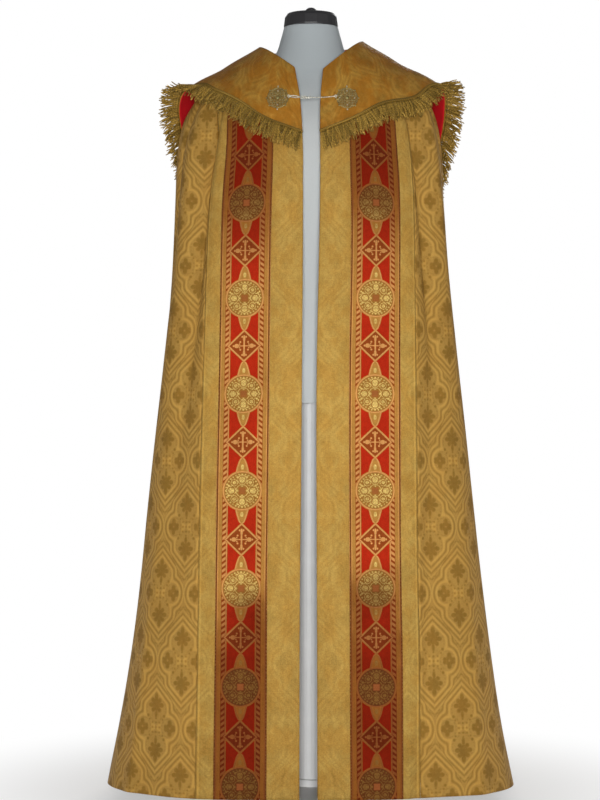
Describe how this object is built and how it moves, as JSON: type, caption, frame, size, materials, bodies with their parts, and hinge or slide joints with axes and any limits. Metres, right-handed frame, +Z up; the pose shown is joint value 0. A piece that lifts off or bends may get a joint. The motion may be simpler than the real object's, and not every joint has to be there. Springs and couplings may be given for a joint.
{
  "type": "cope vestment on dress form",
  "caption": "Gold damask cope with red and gold galloons down the front, a fringed shoulder hood and a clasp, hanging open on a limbless dress form with a round stand.",
  "frame": {"origin": "centre of the stand base's underside, on the floor", "axes": "+Z up, the wearer faces -Y, the wearer's left side is at +X"},
  "size_m": [0.8057, 0.6964, 1.5795],
  "materials": {
    "band_damask": "silky woven damask, pale gold, faint figure",
    "galloon": "red and gold woven galloon with metallic thread",
    "mantle_damask": "silky woven damask, gold ground with an olive gold figure",
    "fringe": "twisted metallic fringe, antique gold",
    "clasp_metal": "antique gilt openwork",
    "hood_damask": "silky woven damask, deep gold",
    "red_satin": "red satin",
    "form_cover": "smooth white jersey cover",
    "cap_black": "satin black",
    "stand_white": "satin white"
  },
  "bodies": {
    "root": {"front_band_right": "band_damask", "galloon_right": "galloon", "side_panel_right": "mantle_damask", "hood_fringe_right": "fringe", "clasp_plate_right": "clasp_metal", "clasp_chain_right": "clasp_metal", "front_band_left": "band_damask", "galloon_left": "galloon", "side_panel_left": "mantle_damask", "hood_fringe_left": "fringe", "clasp_plate_left": "clasp_metal", "clasp_chain_left": "clasp_metal", "back_panel": "mantle_damask", "hood": "hood_damask", "hood_lining": "red_satin", "clasp_hook": "clasp_metal", "form_torso": "form_cover", "form_neck_cap": "cap_black", "stand_pole": "stand_white", "stand_base": "stand_white"}
  },
  "joints": []
}
